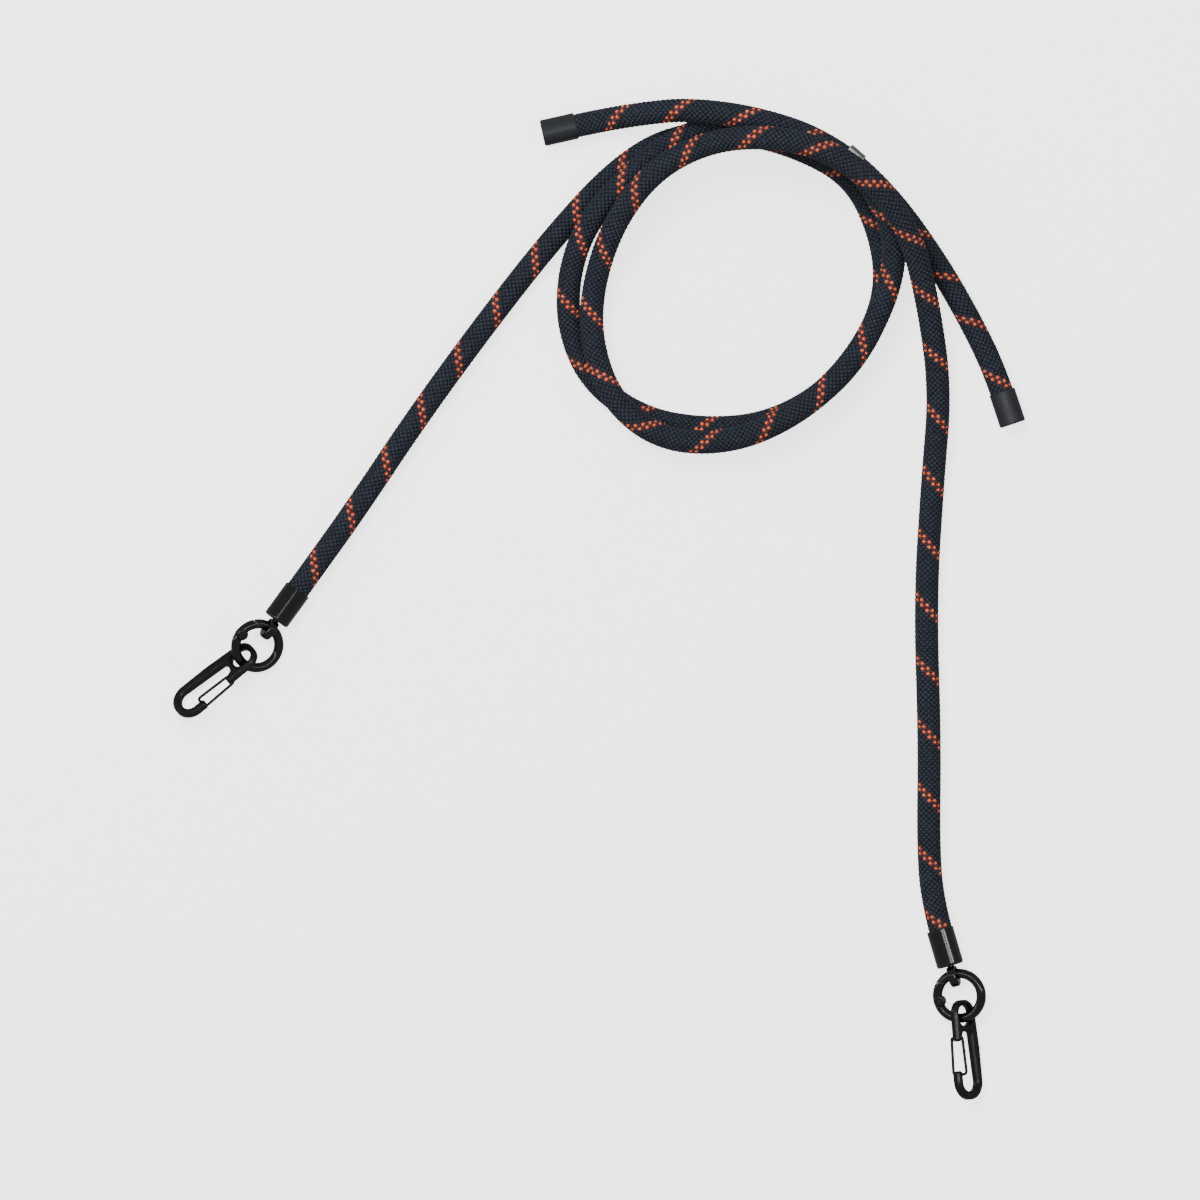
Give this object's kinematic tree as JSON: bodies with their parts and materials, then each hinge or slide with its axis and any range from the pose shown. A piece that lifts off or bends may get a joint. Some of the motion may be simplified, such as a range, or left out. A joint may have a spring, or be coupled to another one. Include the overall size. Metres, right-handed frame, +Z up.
{
  "type": "pair of cord straps with hooks",
  "caption": "Pair of braided cord straps laid in a double loop, each with an end cap on one end and a ferrule, swivel eye, spring-gate ring and snap hook on the other.",
  "frame": {"origin": "on the ground under the middle of the whole bounding box", "axes": "+Y along the longest extent, from the hook ends to the double loop, +Z up from the ground"},
  "size_m": [0.2812, 0.3304, 0.0329],
  "materials": {
    "cord_sheath": "matte braid",
    "cord_core": "matte",
    "cap_metal": "satin",
    "black_metal": "polished black plating",
    "ring_metal": "polished black plating",
    "gunmetal": "semi-gloss gunmetal plating",
    "steel": "bright",
    "tape": "woven tape"
  },
  "bodies": {
    "cords": {"strap_a_rope_sheath": "cord_sheath", "strap_a_rope_core": "cord_core", "strap_a_ferrule": "black_metal", "strap_a_end_cap": "cap_metal", "strap_a_side_tab": "tape", "strap_b_rope_sheath": "cord_sheath", "strap_b_rope_core": "cord_core", "strap_b_ferrule": "black_metal", "strap_b_end_cap": "cap_metal"},
    "swivel_a": {"strap_a_swivel_eye": "black_metal"},
    "ring_a": {"strap_a_ring_body": "ring_metal", "strap_a_ring_gate_spring": "steel"},
    "ring_gate_a": {"strap_a_ring_gate": "ring_metal", "strap_a_ring_gate_pin": "steel"},
    "hook_a": {"strap_a_hook_body": "gunmetal"},
    "wire_gate_a": {"strap_a_hook_wire_gate": "steel"},
    "swivel_b": {"strap_b_swivel_eye": "black_metal"},
    "ring_b": {"strap_b_ring_body": "ring_metal", "strap_b_ring_gate_spring": "steel"},
    "ring_gate_b": {"strap_b_ring_gate": "ring_metal", "strap_b_ring_gate_pin": "steel"},
    "hook_b": {"strap_b_hook_body": "gunmetal"},
    "wire_gate_b": {"strap_b_hook_wire_gate": "steel"}
  },
  "joints": [
    {"name": "swivel_turn_a", "type": "hinge", "parent": "cords", "child": "swivel_a", "pos_m": [0.11691, -0.1237, 0.0048], "axis": [0.2822, -0.9594, 0], "continuous": true},
    {"name": "ring_swing_a", "type": "hinge", "parent": "swivel_a", "child": "ring_a", "pos_m": [0.11691, -0.1237, 0.0048], "axis": [0.9309, 0.2738, 0.2419], "range_deg": [-60, 60]},
    {"name": "ring_gate_open_a", "type": "hinge", "parent": "ring_a", "child": "ring_gate_a", "pos_m": [0.11259, -0.13256, 0.00314], "axis": [0.2321, 0.0683, -0.9703], "range_deg": [0, 20], "stiffness_Nm_per_rad": 0.003, "springref_deg": -34.38},
    {"name": "hook_swing_a", "type": "hinge", "parent": "ring_a", "child": "hook_a", "pos_m": [0.1201, -0.13812, 0.00455], "axis": [0.9611, 0.1376, 0.2396], "range_deg": [-40, 40]},
    {"name": "wire_gate_open_a", "type": "hinge", "parent": "hook_a", "child": "wire_gate_a", "pos_m": [0.11814, -0.14456, 0.00765], "axis": [0.7377, 0.0959, 0.6683], "range_deg": [0, 22], "stiffness_Nm_per_rad": 0.003, "springref_deg": -28.65},
    {"name": "swivel_turn_b", "type": "hinge", "parent": "cords", "child": "swivel_b", "pos_m": [-0.10835, -0.0093, 0.0045], "axis": [-0.5865, -0.8099, 0], "continuous": true},
    {"name": "ring_swing_b", "type": "hinge", "parent": "swivel_b", "child": "ring_b", "pos_m": [-0.10835, -0.0093, 0.0045], "axis": [0.7561, -0.5475, -0.3584], "range_deg": [-60, 60]},
    {"name": "ring_gate_open_b", "type": "hinge", "parent": "ring_b", "child": "ring_gate_b", "pos_m": [-0.1178, -0.01145, 0.00695], "axis": [-0.2903, 0.2102, -0.9336], "range_deg": [0, 20], "stiffness_Nm_per_rad": 0.003, "springref_deg": -34.38},
    {"name": "hook_swing_b", "type": "hinge", "parent": "ring_b", "child": "hook_b", "pos_m": [-0.11833, -0.02003, 0.00519], "axis": [0.5786, -0.7385, -0.3462], "range_deg": [-40, 20]},
    {"name": "wire_gate_open_b", "type": "hinge", "parent": "hook_b", "child": "wire_gate_b", "pos_m": [-0.12146, -0.02644, 0.00724], "axis": [0.3989, -0.4513, -0.7982], "range_deg": [0, 22], "stiffness_Nm_per_rad": 0.003, "springref_deg": -28.65}
  ]
}
